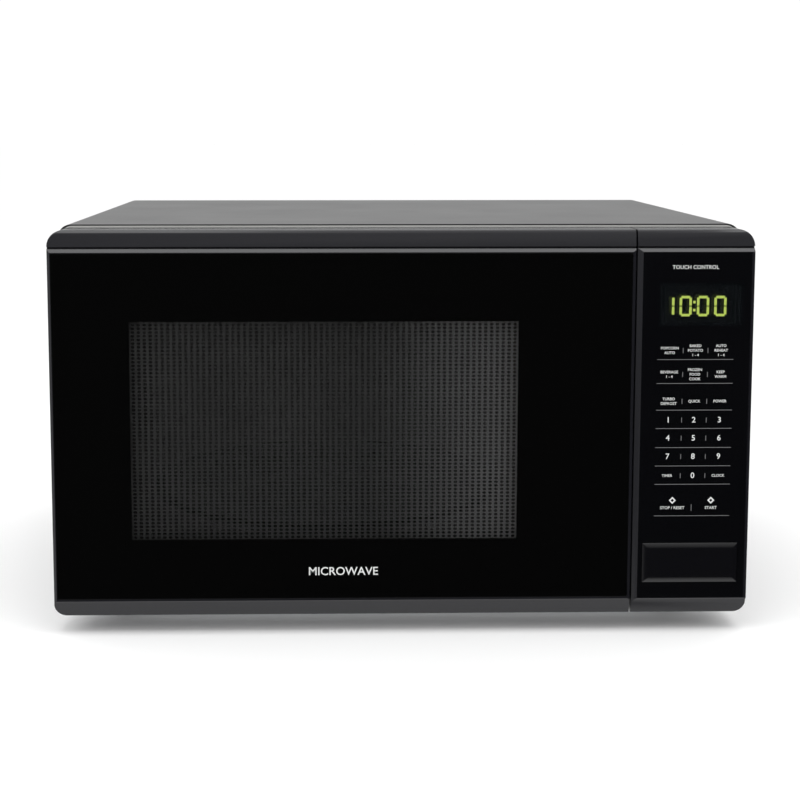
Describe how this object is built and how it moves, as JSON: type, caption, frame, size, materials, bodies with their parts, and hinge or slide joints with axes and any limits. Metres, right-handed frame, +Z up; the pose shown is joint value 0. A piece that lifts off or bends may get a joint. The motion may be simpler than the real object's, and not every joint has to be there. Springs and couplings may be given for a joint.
{
  "type": "microwave oven",
  "caption": "Black countertop microwave oven with a side-hinged window door, a keypad and display panel and a push button that opens the door.",
  "frame": {"origin": "on the floor under the middle of the bounding box, level with the undersides of the feet", "axes": "+X to the viewer's right, +Y to the rear, +Z up; the door faces -Y"},
  "size_m": [0.525, 0.401, 0.31],
  "materials": {
    "cover_black_steel": "satin",
    "front_black_plastic": "gloss",
    "door_glass": "gloss",
    "clear_window": "gloss",
    "panel_film": "gloss",
    "black_rubber": "matte",
    "black_plastic": "matte",
    "galvanised_steel": "satin",
    "cavity_enamel": "satin",
    "zinc_screw": "satin",
    "spring_steel": "satin",
    "mica": "matte",
    "ferrite": "matte",
    "copper_anode": "satin",
    "antenna_ceramic": "matte",
    "fin_aluminium": "satin",
    "core_steel": "matte",
    "copper_windings": "satin",
    "dark_component": "matte",
    "circuit_board": "satin",
    "pale_plastic": "satin",
    "lamp_glass": "gloss",
    "motor_can": "satin",
    "tray_glass": "gloss"
  },
  "bodies": {
    "housing": {"base_plate": "galvanised_steel", "button_spring": "spring_steel", "capacitor": "fin_aluminium", "capacitor_clamp": "galvanised_steel", "cavity_back": "cavity_enamel", "cavity_floor": "cavity_enamel", "cavity_wrapper": "cavity_enamel", "control_board": "circuit_board", "control_panel_frame": "front_black_plastic", "cord_gland": "black_plastic", "cover_screws": "zinc_screw", "diode": "dark_component", "display_module": "dark_component", "display_window": "clear_window", "fan_motor": "dark_component", "fan_shroud": "black_plastic", "feet": "black_rubber", "front_plate": "galvanised_steel", "interlock_switches": "dark_component", "keypad_membrane": "panel_film", "lamp_holder": "pale_plastic", "latch_body": "pale_plastic", "lower_hinge": "galvanised_steel", "magnetron_anode": "copper_anode", "magnetron_antenna": "antenna_ceramic", "magnetron_filter_box": "galvanised_steel", "magnetron_fins": "fin_aluminium", "magnetron_magnets": "ferrite", "magnetron_yoke": "galvanised_steel", "noise_filter_board": "circuit_board", "outer_cover": "cover_black_steel", "oven_lamp": "lamp_glass", "rear_panel": "galvanised_steel", "thermal_cutouts": "dark_component", "transformer_core": "core_steel", "transformer_windings": "copper_windings", "turntable_motor": "motor_can", "upper_hinge": "galvanised_steel", "wall_spacers": "black_plastic", "waveguide": "galvanised_steel", "waveguide_cover": "mica"},
    "door": {"door_frame": "front_black_plastic", "door_front_panel": "door_glass", "door_screen": "galvanised_steel", "door_pan": "galvanised_steel", "inner_window": "clear_window", "choke_cover": "black_plastic", "hinge_bushes": "black_plastic", "latch_spring": "spring_steel"},
    "door_latch": {"latch_hooks": "black_plastic"},
    "button": {"release_button": "front_black_plastic"},
    "lever": {"release_lever": "black_plastic"},
    "sense_plunger": {"switch_plunger": "black_plastic"},
    "turntable_drive": {"drive_coupler": "pale_plastic"},
    "roller_carrier": {"roller_ring": "pale_plastic"},
    "roller_1": {"roller_wheel_1": "pale_plastic"},
    "roller_2": {"roller_wheel_2": "pale_plastic"},
    "roller_3": {"roller_wheel_3": "pale_plastic"},
    "tray": {"glass_tray": "tray_glass"},
    "fan": {"fan_blade": "pale_plastic"}
  },
  "joints": [
    {"name": "door_hinge", "type": "hinge", "parent": "housing", "child": "door", "pos_m": [-0.2545, -0.182, 0.15], "axis": [0, 0, -1], "range_deg": [0, 105]},
    {"name": "hook_lift", "type": "slide", "parent": "door", "child": "door_latch", "axis": [0, 0, 1], "range_m": [0, 0.004], "stiffness_N_per_m": 250, "deforming": ["latch_spring"]},
    {"name": "button_press", "type": "slide", "parent": "housing", "child": "button", "axis": [0, 1, 0], "range_m": [0, 0.005], "stiffness_N_per_m": 500, "deforming": ["button_spring"]},
    {"name": "lever_turn", "type": "hinge", "parent": "housing", "child": "lever", "pos_m": [0.152, -0.157, 0.07985], "axis": [1, 0, 0], "range_deg": [0, 11.5]},
    {"name": "plunger_travel", "type": "slide", "parent": "housing", "child": "sense_plunger", "axis": [0, 1, 0], "range_m": [0, 0.001]},
    {"name": "turntable_spin", "type": "hinge", "parent": "housing", "child": "turntable_drive", "pos_m": [-0.058, 0.0105, 0.045], "axis": [0, 0, 1], "continuous": true},
    {"name": "roller_ring_spin", "type": "hinge", "parent": "housing", "child": "roller_carrier", "pos_m": [-0.058, 0.0105, 0.046], "axis": [0, 0, 1], "continuous": true},
    {"name": "roller_1_spin", "type": "hinge", "parent": "roller_carrier", "child": "roller_1", "pos_m": [-0.058, 0.11836, 0.046], "axis": [0, 1, 0], "continuous": true},
    {"name": "roller_2_spin", "type": "hinge", "parent": "roller_carrier", "child": "roller_2", "pos_m": [-0.15141, -0.04343, 0.046], "axis": [-0.866, -0.5, 0], "continuous": true},
    {"name": "roller_3_spin", "type": "hinge", "parent": "roller_carrier", "child": "roller_3", "pos_m": [0.03541, -0.04343, 0.046], "axis": [0.866, -0.5, 0], "continuous": true},
    {"name": "tray_lift", "type": "slide", "parent": "turntable_drive", "child": "tray", "axis": [0, 0, 1], "range_m": [0, 0.09]},
    {"name": "fan_spin", "type": "hinge", "parent": "housing", "child": "fan", "pos_m": [0.19, 0.15, 0.195], "axis": [0, 1, 0], "continuous": true}
  ],
  "couplings": [
    {"joint": "hook_lift", "follows": "button_press", "ratio": 0.8},
    {"joint": "lever_turn", "follows": "button_press", "rad_per_m": 40},
    {"joint": "plunger_travel", "follows": "button_press", "ratio": 0.2},
    {"joint": "roller_ring_spin", "follows": "turntable_spin", "ratio": 0.5},
    {"joint": "roller_1_spin", "follows": "turntable_spin", "ratio": -6.0125},
    {"joint": "roller_2_spin", "follows": "turntable_spin", "ratio": -6.0125},
    {"joint": "roller_3_spin", "follows": "turntable_spin", "ratio": -6.0125}
  ]
}
